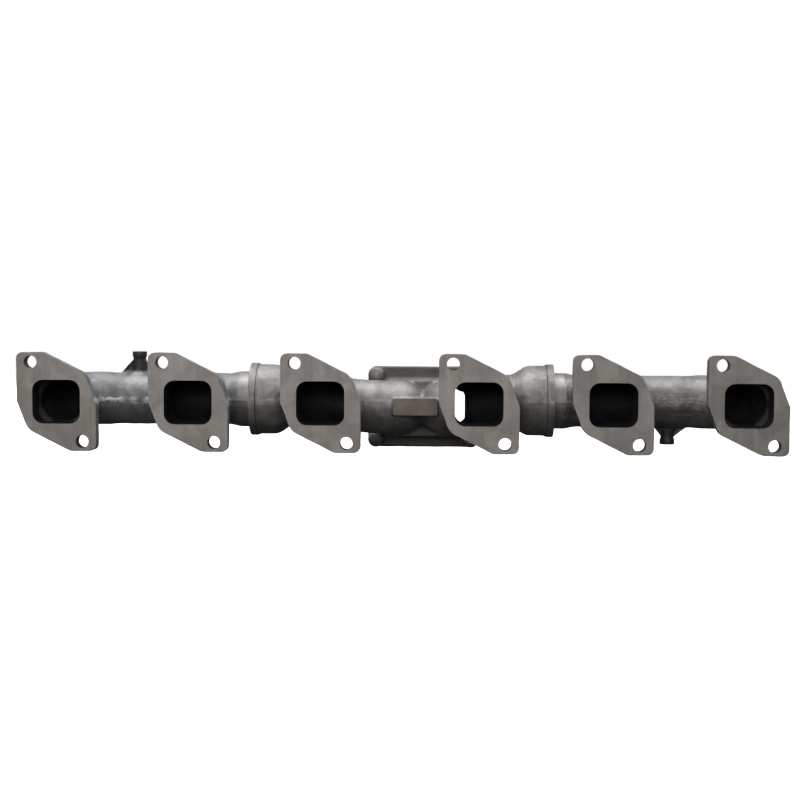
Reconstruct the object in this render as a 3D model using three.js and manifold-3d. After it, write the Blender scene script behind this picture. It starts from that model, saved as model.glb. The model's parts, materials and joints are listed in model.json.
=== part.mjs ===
// Exhaust manifold for an inline-six diesel with two three-cylinder heads.
// Three iron castings are joined by two slip joints: the end sections' spigots slide in the
// bells of the centre section and are sealed by split rings. The centre section carries the
// divided turbocharger flange at its back.
// Millimetres. +X runs along the row of ports, -Y faces the cylinder heads, +Z is up. The
// origin is the middle of the port row, on the plane of the port faces.
import * as THREE from 'three';
import { mergeVertices } from 'three/addons/utils/BufferGeometryUtils.js';
import Module from 'manifold-3d';

// ---- Driving dimensions -------------------------------------------------------------------

// Row of ports
const PORT_PITCH = 146; // between neighbouring ports of one cylinder head
const HEAD_PITCH = 174; // between ports 3 and 4, across the gap between the heads
const INNER_PORT = HEAD_PITCH / 2;
const MIDDLE_PORT = INNER_PORT + PORT_PITCH;
const OUTER_PORT = MIDDLE_PORT + PORT_PITCH;

// Port flanges. Half of the outline, as x, z and corner radius: the other half is its negative.
const FLANGE_THICKNESS = 14.5;
const FLANGE_HALF_OUTLINE = [
  [-44, 54.5, 7],
  [-15.5, 54.5, 8],
  [32, 30.7, 16],
  [44, -1.5, 10],
];
const STUD_HOLE_RADIUS = 7.15;
const STUD_HOLE_X = -28.5;
const STUD_HOLE_Z = 43.8;

// Ports and runners
const PORT_WIDTH = 53;
const PORT_HEIGHT = 48.5;
const PORT_CORNER = 11.5;
const RUNNER_WALL = 6.4;

// Log pipe
const LOG_Y = 75; // distance of the pipe's axis behind the port faces
const PIPE_RADIUS = 29.5;
const BORE_RADIUS = 23.75;
const ELBOW_RADIUS = 45; // bend of the outermost port's elbow, on its centre line
const ELBOW_STEPS = 9;
const PIPE_START = OUTER_PORT - ELBOW_RADIUS; // where the elbow has become the straight pipe

// Slip joints, as distances from the middle of the row
const BELL_CONE_START = 124;
const BELL_CONE_END = 143;
const BELL_LIP_START = 164;
const BELL_LIP_RISE = 1; // along the axis, between the bell's two radii
const BELL_CHAMFER = 1.5;
const BELL_LEAD_IN = 1; // at the mouth of the bore
const BELL_MOUTH = 172;
const BELL_RADIUS = 40;
const BELL_LIP_RADIUS = 41.5;
const BELL_BORE_RADIUS = 32.25;
const BELL_BORE_END = 141;
const SPIGOT_RADIUS = 31.75;
const SPIGOT_END = 144.5;
const SPIGOT_CHAMFER = 1;
const SPIGOT_COLLAR_END = 184;
const SPIGOT_TAPER_END = 195;

// Seal rings, two in each groove
const GROOVE_STARTS = [148.5, 159.5];
const GROOVE_WIDTH = 7;
const GROOVE_DEPTH = 3.5;
const RING_THICKNESS = 3;
const RING_RADIUS = 31.95;
const RING_INNER_RADIUS = 28.6;
const RING_CLEARANCE = 0.35; // to the groove's wall
const RING_GAP = 2; // between the ends of the split ring
const FIRST_RING_TURN = Math.PI / 4; // places the gap of the first ring

// Bracket bosses on the end sections
const BOSS_X = 302.5;
const BOSS_ROOT = 4; // sunk into the pipe
const BOSS_RADIUS = 8.2;
const BOSS_STEM_RADIUS = 7.2;
const BOSS_HEAD_HEIGHT = 6;
const BOSS_HOLE_RADIUS = 4.2;
const BOSS_HOLE_DEPTH = 14;
const FRONT_BOSS_HEIGHT = 24.5; // above the pipe
const REAR_BOSS_HEIGHT = 19;
const GUSSET_THICKNESS = 9;
const GUSSET_OUTBOARD = 21;
const GUSSET_INBOARD = 15;
const GUSSET_TOP = 5.2; // half its width at the boss's shoulder
const GUSSET_CORNER = 1;

// Turbocharger flange
const TURBO_X = 23.5;
const TURBO_Z = -11.5;
const TURBO_FACE_Y = 144;
const TURBO_THICKNESS = 16;
const TURBO_WIDTH = 131;
const TURBO_HEIGHT = 95;
const TURBO_CORNER = 9.5;
const TURBO_BOSS_RADIUS = 9.5;
const TURBO_BOSS_REACH = 9; // in front of the plate
const DOME_FLATNESS = 0.5; // height of a boss's dome, as a share of a half ball
const TURBO_BOLT_X = 56;
const TURBO_BOLT_Z = 38;
const TURBO_HOLE_RADIUS = 5.1;
const TURBO_HOLE_DEPTH = 20;
const OUTLET_WIDTH = 44.5;
const OUTLET_HEIGHT = 49.5;
const OUTLET_CORNER = 12;
const DIVIDER = 9;
const NECK_WALL = 7;
const NECK_START_Y = 100;
const OUTLET_START_Y = 90;
const OUTLET_THROAT_RADIUS = 22.25;

// Branches of the centre section, and the rib across the crease between them
const BRANCH_RADIUS = 30.5;
const BRANCH_Z = -9;
const BRANCH_START = INNER_PORT * 1.2;
const BRANCH_LEVEL_END = INNER_PORT * 1.1; // the branch begins to drop here
const BRANCH_SHOULDER = 0.2; // share of the way from the inner port to the outlet,
const BRANCH_SHOULDER_DROP = 0.5; // and share of the drop that is behind it there
const BRANCH_STEPS = 7;
const BRANCH_BORE_STEPS = 8;
const RIB_LOW_X = -9;
const RIB_HIGH_X = 41;
const RIB_LOW_Z = -15.5;
const RIB_HIGH_Z = 3.5;
const RIB_FACE_Y = 41.5;

const ROUND = 24; // sides of a pipe
const BOSS_ROUND = 16; // sides of a boss
const HOLE_ROUND = 12; // sides of a small hole
const CORNER_STEPS = 3; // chords of a plate's rounded corner
const PASSAGE_CORNER_STEPS = 4; // chords of a passage's rounded corner
const STEP = 0.4; // between two round forms that run into each other
const SUNK = 1; // how far a form ends short of the face that it is joined under
const OVERRUN = 2; // how far a cutter passes the face it opens
const MERGE_DISTANCE = 1e-4;

// ---- Solids -------------------------------------------------------------------------------

const wasm = await Module();
wasm.setup();

// A closed three.js geometry as a solid. Triangles without area are left out.
function solid(geometry) {
  const bare = geometry.clone();
  bare.deleteAttribute('normal');
  bare.deleteAttribute('uv');
  const merged = mergeVertices(bare, MERGE_DISTANCE);
  const index = merged.index.array;
  const triangles = [];
  for (let i = 0; i < index.length; i += 3) {
    const [a, b, c] = [index[i], index[i + 1], index[i + 2]];
    if (a !== b && b !== c && c !== a) triangles.push([a, b, c]);
  }
  if (signedVolume(merged, triangles) < 0) triangles.forEach((corners) => corners.reverse());
  return new wasm.Manifold(new wasm.Mesh({
    numProp: 3,
    vertProperties: new Float32Array(merged.attributes.position.array),
    triVerts: new Uint32Array(triangles.flat()),
  }));
}

function signedVolume(geometry, triangles) {
  const { position } = geometry.attributes;
  const points = [0, 1, 2].map(() => new THREE.Vector3());
  let total = 0;
  for (const corners of triangles) {
    corners.forEach((corner, i) => points[i].fromBufferAttribute(position, corner));
    total += points[0].dot(points[1].cross(points[2]));
  }
  return total / 6;
}

function join(solids) {
  return solids.reduce((whole, piece) => whole.add(piece));
}

function geometryOf(manifold) {
  const { vertProperties, triVerts } = manifold.getMesh();
  const geometry = new THREE.BufferGeometry();
  geometry.setAttribute('position', new THREE.BufferAttribute(vertProperties, 3));
  geometry.setIndex(new THREE.BufferAttribute(triVerts, 1));
  geometry.computeVertexNormals();
  return geometry;
}

// ---- Outlines and basic forms -------------------------------------------------------------

// A polygon whose corners are rounded by arcs. Each corner is x, y, radius.
function roundedOutline(corners) {
  const shape = new THREE.Shape();
  corners.forEach(([x, y, radius], i) => {
    const corner = new THREE.Vector2(x, y);
    const [before, after] = [corners.at(i - 1), corners[(i + 1) % corners.length]].map(
      ([nextX, nextY]) => new THREE.Vector2(nextX, nextY).sub(corner).normalize(),
    );
    const halfAngle = Math.acos(before.dot(after)) / 2;
    const reach = radius / Math.tan(halfAngle);
    const inward = before.clone().add(after).setLength(radius / Math.sin(halfAngle));
    const start = before.clone().multiplyScalar(reach).sub(inward);
    const end = after.clone().multiplyScalar(reach).sub(inward);
    const centre = corner.clone().add(inward);
    shape.absarc(centre.x, centre.y, radius, start.angle(), end.angle(), start.cross(end) < 0);
  });
  shape.closePath();
  return shape;
}

function roundedRectangle(width, height, radius) {
  const x = width / 2;
  const y = height / 2;
  return roundedOutline([[-x, -y, radius], [x, -y, radius], [x, y, radius], [-x, y, radius]]);
}

// A shape drawn in x and z, made into a solid from startY to endY.
function slab(shape, startY, endY, x = 0, z = 0, curveSegments = CORNER_STEPS) {
  const depth = endY - startY;
  const geometry = new THREE.ExtrudeGeometry(shape, { depth, bevelEnabled: false, curveSegments });
  geometry.rotateX(Math.PI / 2);
  geometry.translate(x, endY, z);
  return solid(geometry);
}

// A round bar along Y.
function barAlongY(radius, startY, endY, x, z, sides = ROUND) {
  const geometry = new THREE.CylinderGeometry(radius, radius, endY - startY, sides);
  geometry.translate(x, (startY + endY) / 2, z);
  return solid(geometry);
}

// A round bar along Z on the pipe's axis plane.
function barAlongZ(radius, startZ, endZ, x, sides = BOSS_ROUND) {
  const geometry = new THREE.CylinderGeometry(radius, radius, endZ - startZ, sides);
  geometry.rotateX(Math.PI / 2);
  geometry.translate(x, LOG_Y, (startZ + endZ) / 2);
  return solid(geometry);
}

function block(lowX, highX, lowY, highY, lowZ, highZ) {
  const geometry = new THREE.BoxGeometry(highX - lowX, highY - lowY, highZ - lowZ);
  geometry.translate((lowX + highX) / 2, (lowY + highY) / 2, (lowZ + highZ) / 2);
  return solid(geometry);
}

function ball(radius, x, y, z) {
  const geometry = new THREE.SphereGeometry(radius, ROUND, ROUND / 2);
  geometry.translate(x, y, z);
  return solid(geometry);
}

// A turned form round the log pipe's axis. The profile's points are x and radius, from the
// axis round to the axis.
function turned(profile) {
  const points = profile.map(([x, radius]) => new THREE.Vector2(radius, x));
  const geometry = new THREE.LatheGeometry(points, ROUND);
  geometry.rotateZ(-Math.PI / 2);
  geometry.translate(0, LOG_Y, 0);
  return solid(geometry);
}

// A quarter or other part of a circle in a level plane.
class LevelArc extends THREE.Curve {
  constructor(centre, radius, startAngle, endAngle) {
    super();
    this.centre = centre;
    this.radius = radius;
    this.startAngle = startAngle;
    this.endAngle = endAngle;
  }

  getPoint(t, target = new THREE.Vector3()) {
    const angle = this.startAngle + (this.endAngle - this.startAngle) * t;
    const offset = new THREE.Vector3(Math.cos(angle), Math.sin(angle), 0);
    return target.copy(this.centre).addScaledVector(offset, this.radius);
  }
}

function sweep(radius, path, steps) {
  const section = new THREE.Shape().absarc(0, 0, radius, 0, 2 * Math.PI);
  const settings = { extrudePath: path, steps, curveSegments: ROUND / 2, bevelEnabled: false };
  return solid(new THREE.ExtrudeGeometry(section, settings));
}

// ---- Port flange with its runner ----------------------------------------------------------

const flangeOutline = roundedOutline([
  ...FLANGE_HALF_OUTLINE,
  ...FLANGE_HALF_OUTLINE.map(([x, z, radius]) => [-x, -z, radius]),
]);

const portOutline = roundedRectangle(PORT_WIDTH, PORT_HEIGHT, PORT_CORNER);

const runnerOutline = roundedRectangle(
  PORT_WIDTH + 2 * RUNNER_WALL,
  PORT_HEIGHT + 2 * RUNNER_WALL,
  PORT_CORNER + RUNNER_WALL,
);

function portBody(x, runnerEndY) {
  const plate = slab(flangeOutline, 0, FLANGE_THICKNESS, x);
  return plate.add(slab(runnerOutline, FLANGE_THICKNESS / 2, runnerEndY, x));
}

function portCut(x, endY) {
  const studHoles = [1, -1].map((side) => barAlongY(
    STUD_HOLE_RADIUS,
    -OVERRUN,
    FLANGE_THICKNESS + OVERRUN,
    x + side * STUD_HOLE_X,
    side * STUD_HOLE_Z,
    HOLE_ROUND,
  ));
  const port = slab(portOutline, -OVERRUN, endY, x, 0, PASSAGE_CORNER_STEPS);
  return join([port, ...studHoles]);
}

// ---- End section --------------------------------------------------------------------------

// The path of the gas from the outermost port round the elbow.
function elbowPath(startY) {
  const path = new THREE.CurvePath();
  const straightEnd = new THREE.Vector3(-OUTER_PORT, LOG_Y - ELBOW_RADIUS, 0);
  const bendEnd = new THREE.Vector3(-PIPE_START, LOG_Y, 0);
  const centre = new THREE.Vector3(-OUTER_PORT + ELBOW_RADIUS, LOG_Y - ELBOW_RADIUS, 0);
  path.add(new THREE.LineCurve3(new THREE.Vector3(-OUTER_PORT, startY, 0), straightEnd));
  path.add(new LevelArc(centre, ELBOW_RADIUS, Math.PI, Math.PI / 2));
  path.add(new THREE.LineCurve3(bendEnd, new THREE.Vector3(-PIPE_START + OVERRUN, LOG_Y, 0)));
  return path;
}

// Pipe, taper, collar and spigot with its ring grooves, turned as one form.
function spigotProfile() {
  const grooves = [...GROOVE_STARTS].reverse().flatMap((start) => [
    [-start - GROOVE_WIDTH, SPIGOT_RADIUS],
    [-start - GROOVE_WIDTH, SPIGOT_RADIUS - GROOVE_DEPTH],
    [-start, SPIGOT_RADIUS - GROOVE_DEPTH],
    [-start, SPIGOT_RADIUS],
  ]);
  return [
    [-PIPE_START, 0],
    [-PIPE_START, PIPE_RADIUS],
    [-SPIGOT_TAPER_END, PIPE_RADIUS],
    [-SPIGOT_COLLAR_END, SPIGOT_RADIUS],
    ...grooves,
    [-SPIGOT_END - SPIGOT_CHAMFER, SPIGOT_RADIUS],
    [-SPIGOT_END, SPIGOT_RADIUS - SPIGOT_CHAMFER],
    [-SPIGOT_END, 0],
  ];
}

function bracketBoss(height) {
  const top = PIPE_RADIUS + height;
  const shoulder = top - BOSS_HEAD_HEIGHT;
  const rootZ = PIPE_RADIUS - BOSS_ROOT;
  const web = roundedOutline([
    [-BOSS_X - GUSSET_OUTBOARD, rootZ, GUSSET_CORNER],
    [-BOSS_X + GUSSET_INBOARD, rootZ, GUSSET_CORNER],
    [-BOSS_X + GUSSET_TOP, shoulder, GUSSET_CORNER],
    [-BOSS_X - GUSSET_TOP, shoulder, GUSSET_CORNER],
  ]);
  return join([
    barAlongZ(BOSS_STEM_RADIUS, rootZ, top - SUNK, -BOSS_X),
    barAlongZ(BOSS_RADIUS, shoulder, top, -BOSS_X),
    slab(web, LOG_Y - GUSSET_THICKNESS / 2, LOG_Y + GUSSET_THICKNESS / 2),
  ]);
}

function endSection(bossHeight) {
  const bossTop = PIPE_RADIUS + bossHeight;
  const body = join([
    portBody(-MIDDLE_PORT, LOG_Y),
    portBody(-OUTER_PORT, LOG_Y - ELBOW_RADIUS),
    sweep(PIPE_RADIUS + STEP, elbowPath(FLANGE_THICKNESS), ELBOW_STEPS),
    turned(spigotProfile()),
    bracketBoss(bossHeight),
  ]);
  const cuts = join([
    portCut(-MIDDLE_PORT, LOG_Y),
    portCut(-OUTER_PORT, LOG_Y - ELBOW_RADIUS - RUNNER_WALL),
    sweep(BORE_RADIUS - STEP, elbowPath(FLANGE_THICKNESS), ELBOW_STEPS),
    turned([
      [-PIPE_START, 0],
      [-PIPE_START, BORE_RADIUS],
      [-SPIGOT_END + OVERRUN, BORE_RADIUS],
      [-SPIGOT_END + OVERRUN, 0],
    ]),
    barAlongZ(
      BOSS_HOLE_RADIUS,
      bossTop - BOSS_HOLE_DEPTH,
      bossTop + OVERRUN,
      -BOSS_X,
      HOLE_ROUND,
    ),
  ]);
  return body.subtract(cuts);
}

// ---- Centre section -----------------------------------------------------------------------

// Each bank of three ports has its own outlet. side is -1 for ports 1 to 3, +1 for 4 to 6.
function outletX(side) {
  return TURBO_X + side * (DIVIDER + OUTLET_WIDTH) / 2;
}

// The path of the gas along the log, down a little, to behind the outlet.
function branchPath(side, start) {
  const corner = outletX(side);
  const shoulder = THREE.MathUtils.lerp(side * INNER_PORT, corner, BRANCH_SHOULDER);
  return new THREE.CatmullRomCurve3([
    new THREE.Vector3(side * start, LOG_Y, 0),
    new THREE.Vector3(side * BRANCH_LEVEL_END, LOG_Y, 0),
    new THREE.Vector3(shoulder, LOG_Y, BRANCH_Z * BRANCH_SHOULDER_DROP),
    new THREE.Vector3(corner, LOG_Y, BRANCH_Z),
  ]);
}

function bell(side) {
  return turned([
    [side * INNER_PORT, 0],
    [side * INNER_PORT, PIPE_RADIUS],
    [side * BELL_CONE_START, PIPE_RADIUS],
    [side * BELL_CONE_END, BELL_RADIUS],
    [side * BELL_LIP_START, BELL_RADIUS],
    [side * (BELL_LIP_START + BELL_LIP_RISE), BELL_LIP_RADIUS],
    [side * (BELL_MOUTH - BELL_CHAMFER), BELL_LIP_RADIUS],
    [side * BELL_MOUTH, BELL_LIP_RADIUS - BELL_CHAMFER],
    [side * BELL_MOUTH, 0],
  ]);
}

function bellBore(side) {
  return turned([
    [side * (BELL_CONE_START - OVERRUN), 0],
    [side * (BELL_CONE_START - OVERRUN), BORE_RADIUS + STEP],
    [side * BELL_BORE_END, BORE_RADIUS + STEP],
    [side * BELL_BORE_END, BELL_BORE_RADIUS],
    [side * (BELL_MOUTH - BELL_LEAD_IN), BELL_BORE_RADIUS],
    [side * (BELL_MOUTH + OVERRUN), BELL_BORE_RADIUS + BELL_LEAD_IN + OVERRUN],
    [side * (BELL_MOUTH + OVERRUN), 0],
  ]);
}

function turboFlange() {
  const plateY = TURBO_FACE_Y - TURBO_THICKNESS;
  const plate = roundedRectangle(TURBO_WIDTH, TURBO_HEIGHT, TURBO_CORNER);
  const neck = roundedRectangle(
    2 * OUTLET_WIDTH + DIVIDER + 2 * NECK_WALL,
    OUTLET_HEIGHT + 2 * NECK_WALL,
    OUTLET_CORNER + NECK_WALL,
  );
  const bosses = [-1, 1].flatMap((sideX) => [-1, 1].flatMap((sideZ) => {
    const x = TURBO_X + sideX * TURBO_BOLT_X;
    const z = TURBO_Z + sideZ * TURBO_BOLT_Z;
    const domeY = plateY - TURBO_BOSS_REACH + TURBO_BOSS_RADIUS * DOME_FLATNESS;
    const dome = new THREE.SphereGeometry(TURBO_BOSS_RADIUS, HOLE_ROUND, HOLE_ROUND / 2);
    dome.rotateX(Math.PI / 2);
    dome.scale(1, DOME_FLATNESS, 1);
    dome.translate(x, domeY, z);
    const endY = TURBO_FACE_Y - SUNK;
    return [barAlongY(TURBO_BOSS_RADIUS - STEP, domeY, endY, x, z, HOLE_ROUND), solid(dome)];
  }));
  return join([
    slab(plate, plateY, TURBO_FACE_Y, TURBO_X, TURBO_Z),
    slab(neck, NECK_START_Y, TURBO_FACE_Y - SUNK, TURBO_X, TURBO_Z, PASSAGE_CORNER_STEPS),
    ...bosses,
  ]);
}

function turboHoles() {
  return join([-1, 1].flatMap((sideX) => [-1, 1].map((sideZ) => barAlongY(
    TURBO_HOLE_RADIUS,
    TURBO_FACE_Y - TURBO_HOLE_DEPTH,
    TURBO_FACE_Y + OVERRUN,
    TURBO_X + sideX * TURBO_BOLT_X,
    TURBO_Z + sideZ * TURBO_BOLT_Z,
    HOLE_ROUND,
  ))));
}

function centreBranch(side) {
  const x = outletX(side);
  return join([
    portBody(side * INNER_PORT, LOG_Y),
    sweep(BRANCH_RADIUS, branchPath(side, BRANCH_START), BRANCH_STEPS),
    ball(BRANCH_RADIUS + STEP, x, LOG_Y, BRANCH_Z),
    barAlongY(BRANCH_RADIUS, LOG_Y, TURBO_FACE_Y - SUNK, x, BRANCH_Z),
    bell(side),
  ]);
}

function centreBranchCut(side) {
  const x = outletX(side);
  const outlet = roundedRectangle(OUTLET_WIDTH, OUTLET_HEIGHT, OUTLET_CORNER);
  return join([
    portCut(side * INNER_PORT, LOG_Y),
    sweep(BORE_RADIUS, branchPath(side, BELL_CONE_START), BRANCH_BORE_STEPS),
    ball(BORE_RADIUS + STEP, x, LOG_Y, BRANCH_Z),
    barAlongY(OUTLET_THROAT_RADIUS, LOG_Y, NECK_START_Y, x, BRANCH_Z),
    slab(outlet, OUTLET_START_Y, TURBO_FACE_Y + OVERRUN, x, TURBO_Z, PASSAGE_CORNER_STEPS),
    bellBore(side),
  ]);
}

function centreSection() {
  const body = join([
    centreBranch(-1),
    centreBranch(1),
    block(RIB_LOW_X, RIB_HIGH_X, RIB_FACE_Y, LOG_Y, RIB_LOW_Z, RIB_HIGH_Z),
    turboFlange(),
  ]);
  return body.subtract(join([centreBranchCut(-1), centreBranchCut(1), turboHoles()]));
}

// ---- Seal ring ----------------------------------------------------------------------------

// A split ring round the pipe's axis. gapAngle is where its ends meet.
function sealRing(startX, gapAngle) {
  const halfGap = RING_GAP / 2 / RING_RADIUS;
  const shape = new THREE.Shape();
  shape.absarc(0, 0, RING_RADIUS, halfGap, 2 * Math.PI - halfGap);
  shape.absarc(0, 0, RING_INNER_RADIUS, 2 * Math.PI - halfGap, halfGap, true);
  shape.closePath();
  const settings = { depth: RING_THICKNESS, bevelEnabled: false, curveSegments: ROUND / 2 };
  const geometry = new THREE.ExtrudeGeometry(shape, settings);
  geometry.rotateZ(gapAngle);
  geometry.rotateY(Math.PI / 2);
  geometry.translate(startX, LOG_Y, 0);
  return geometryOf(solid(geometry));
}

// ---- Assembly -----------------------------------------------------------------------------

const castIron = new THREE.MeshStandardMaterial({ color: 0x4b4c4d, roughness: 0.6, metalness: 0.8 });
const castIronEnds = new THREE.MeshStandardMaterial({ color: 0x505254, roughness: 0.6, metalness: 0.8 });
const ringIron = new THREE.MeshStandardMaterial({ color: 0x8d8f92, roughness: 0.35, metalness: 1 });

function named(name, geometry, material) {
  const mesh = new THREE.Mesh(geometry, material);
  mesh.name = name;
  return mesh;
}

// An end section with its four rings, built for the front end of the row.
function endAssembly(name, bossHeight) {
  const group = new THREE.Group();
  group.add(named(`${name}_section`, geometryOf(endSection(bossHeight)), castIronEnds));
  GROOVE_STARTS.forEach((grooveStart, groove) => {
    [0, 1].forEach((place) => {
      const ringPitch = GROOVE_WIDTH - 2 * RING_CLEARANCE - RING_THICKNESS;
      const startX = -grooveStart - GROOVE_WIDTH + RING_CLEARANCE + place * ringPitch;
      const number = groove * 2 + place + 1;
      const gapAngle = FIRST_RING_TURN + Math.PI * (place + groove / 2);
      group.add(named(`${name}_seal_ring_${number}`, sealRing(startX, gapAngle), ringIron));
    });
  });
  return group;
}

const manifold = new THREE.Group();
manifold.name = 'exhaust_manifold';
manifold.add(named('centre_section', geometryOf(centreSection()), castIron));
manifold.add(endAssembly('front', FRONT_BOSS_HEIGHT));

// The rear end section is the same pattern turned half round about the Y axis.
const rear = endAssembly('rear', REAR_BOSS_HEIGHT);
rear.rotation.y = Math.PI;
manifold.add(rear);

export default manifold;
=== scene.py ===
# %% [markdown]
# # A three-piece exhaust manifold
#
# This manifold bolts to the two cylinder heads of a big six-cylinder diesel. It is three iron
# castings in a row: a centre section with the turbocharger's divided flange at its back, and two
# end sections whose turned spigots slide in its bells. Split rings in the spigots' grooves keep
# the gas in. The frame below holds the real sizes and what moves. This file gives each casting
# its shape as it is made: first a rough casting, then a core that leaves the passages hollow,
# then milling, turning and drilling.

# %% Load the frame
import json
import math

import bpy
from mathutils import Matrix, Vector


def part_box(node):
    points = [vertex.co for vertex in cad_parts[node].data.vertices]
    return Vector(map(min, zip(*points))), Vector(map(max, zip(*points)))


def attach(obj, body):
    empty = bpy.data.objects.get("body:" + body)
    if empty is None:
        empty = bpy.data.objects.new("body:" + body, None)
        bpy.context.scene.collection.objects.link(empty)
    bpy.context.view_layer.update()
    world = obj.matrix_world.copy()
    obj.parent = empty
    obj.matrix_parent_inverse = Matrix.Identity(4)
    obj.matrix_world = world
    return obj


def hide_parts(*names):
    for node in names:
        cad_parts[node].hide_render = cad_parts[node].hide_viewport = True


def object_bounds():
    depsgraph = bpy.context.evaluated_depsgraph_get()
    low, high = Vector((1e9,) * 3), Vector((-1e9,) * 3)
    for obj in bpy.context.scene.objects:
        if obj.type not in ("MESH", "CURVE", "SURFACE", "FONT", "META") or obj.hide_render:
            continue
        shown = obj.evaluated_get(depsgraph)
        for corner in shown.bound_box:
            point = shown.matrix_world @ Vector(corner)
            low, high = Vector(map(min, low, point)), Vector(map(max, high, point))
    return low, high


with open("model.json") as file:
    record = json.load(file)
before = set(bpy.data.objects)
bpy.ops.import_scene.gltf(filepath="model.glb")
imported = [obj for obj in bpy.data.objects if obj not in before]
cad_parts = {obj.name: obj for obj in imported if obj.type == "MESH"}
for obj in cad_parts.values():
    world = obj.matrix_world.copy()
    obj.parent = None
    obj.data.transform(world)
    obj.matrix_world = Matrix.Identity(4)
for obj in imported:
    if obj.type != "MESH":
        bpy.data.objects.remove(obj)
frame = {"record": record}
cad_low, cad_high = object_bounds()
MM = 0.001
mounts = {mount["name"]: Vector(mount["pos_m"]) for mount in frame["record"]["mounts"]}
port_x = [mounts[f"port_{number}_face"].x for number in range(1, 7)]
print("the frame is", [round((high - low) / MM) for low, high in zip(cad_low, cad_high)], "mm")

# %% [markdown]
# ## The view
#
# The camera stands level with the row of ports, a little above it and a little to the right.
# A long lens keeps the six flanges nearly alike in size. The roll is the slight tilt of a
# camera held by hand.

# %% Camera
LOOK_AT = Vector((0.0005, 0, 0.0044))
CAMERA_DISTANCE = 1.5
CAMERA_AZIMUTH = math.radians(2.1)
CAMERA_ELEVATION = math.radians(3.5)
CAMERA_ROLL = math.radians(0.25)

camera_data = bpy.data.cameras.new("camera")
camera_data.lens = 61.8
camera_data.sensor_width = 36
camera = bpy.data.objects.new("camera", camera_data)
bpy.context.scene.collection.objects.link(camera)
back = Vector((
    math.sin(CAMERA_AZIMUTH) * math.cos(CAMERA_ELEVATION),
    -math.cos(CAMERA_AZIMUTH) * math.cos(CAMERA_ELEVATION),
    math.sin(CAMERA_ELEVATION),
))
camera.location = LOOK_AT + back * CAMERA_DISTANCE
camera.rotation_mode = "QUATERNION"
camera.rotation_quaternion = (-back).to_track_quat("-Z", "Y")
camera.rotation_mode = "XYZ"
camera.rotation_euler.rotate_axis("Z", CAMERA_ROLL)
bpy.context.scene.camera = camera
bpy.context.scene.view_settings.view_transform = "Standard"
print("the camera stands at", [round(value, 3) for value in camera.location])

# %% [markdown]
# ## Working by hand, in code
#
# Every step below is a tool that a modeller uses by hand: add a primitive, extrude, bisect,
# bevel, inset, cut by boolean, remesh. These small helpers only keep the selection tidy, since an
# operator acts on everything that is selected.

# %% Selecting and finishing
def only(piece):
    """Makes a piece the one that is selected and active."""
    if bpy.context.object and bpy.context.object.mode != "OBJECT":
        bpy.ops.object.mode_set(mode="OBJECT")
    bpy.ops.object.select_all(action="DESELECT")
    piece.select_set(True)
    bpy.context.view_layer.objects.active = piece


def settle(piece):
    """Puts a piece's place into its mesh, so that its object sits at the origin."""
    only(piece)
    bpy.ops.object.transform_apply(location=True, rotation=True, scale=True)
    return piece


def modify(piece, kind, **settings):
    """Adds a modifier with its settings and applies it."""
    only(piece)
    bpy.ops.object.modifier_add(type=kind)
    modifier = piece.modifiers[-1]
    for name, value in settings.items():
        setattr(modifier, name, value)
    bpy.ops.object.modifier_apply(modifier=modifier.name)


def join(piece, others):
    """Puts others into a piece's mesh. They may overlap: remeshing fuses them later."""
    only(piece)
    for other in others:
        other.select_set(True)
    bpy.ops.object.join()
    return piece


def cut(piece, cutters):
    """Takes cutters that don't overlap out of a piece, leaving each one's material on its cut."""
    cutter = join(cutters[0], cutters[1:])
    modify(
        piece,
        "BOOLEAN",
        object=cutter,
        operation="DIFFERENCE",
        solver="EXACT",
        material_mode="TRANSFER",
    )
    bpy.data.objects.remove(cutter)
    return piece


def choose(piece, kind, wanted):
    """Enters edit mode with the faces or edges selected for which wanted(element) is true."""
    only(piece)
    bpy.ops.object.mode_set(mode="EDIT")
    bpy.ops.mesh.select_mode(type="FACE" if kind == "polygons" else "EDGE")
    bpy.ops.mesh.select_all(action="DESELECT")
    bpy.ops.object.mode_set(mode="OBJECT")
    for element in getattr(piece.data, kind):
        element.select = wanted(element)
    bpy.ops.object.mode_set(mode="EDIT")


# %% [markdown]
# Every form starts as a block, a bar or a ball of the real size, in millimetres. Its place is
# applied to its mesh at once, so that the object itself stays at the origin, like the frame's.

# %% Primitives
def box(name, low, high):
    """A block between two corners, in millimetres."""
    low, high = Vector(low) * MM, Vector(high) * MM
    bpy.ops.mesh.primitive_cube_add(size=1, location=(low + high) / 2)
    piece = bpy.context.object
    piece.name = name
    piece.scale = high - low
    return settle(piece)


def bar(name, radius, start, end, sides=64):
    """A round bar between two points, in millimetres."""
    start, end = Vector(start) * MM, Vector(end) * MM
    bpy.ops.mesh.primitive_cylinder_add(
        vertices=sides,
        radius=radius * MM,
        depth=(end - start).length,
        location=(start + end) / 2,
        rotation=(end - start).to_track_quat("Z", "Y").to_euler(),
    )
    piece = bpy.context.object
    piece.name = name
    return settle(piece)


def ball(name, radius, centre):
    bpy.ops.mesh.primitive_uv_sphere_add(
        segments=48, ring_count=24, radius=radius * MM, location=Vector(centre) * MM
    )
    piece = bpy.context.object
    piece.name = name
    return settle(piece)


# %% [markdown]
# A turned form is drawn out of a disc: its face is extruded along the axis, station by station,
# and resized to each station's radius. That gives clean rings of faces, as on a lathe, and it
# works for tubes that step sideways too, because each station has its own centre.

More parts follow.
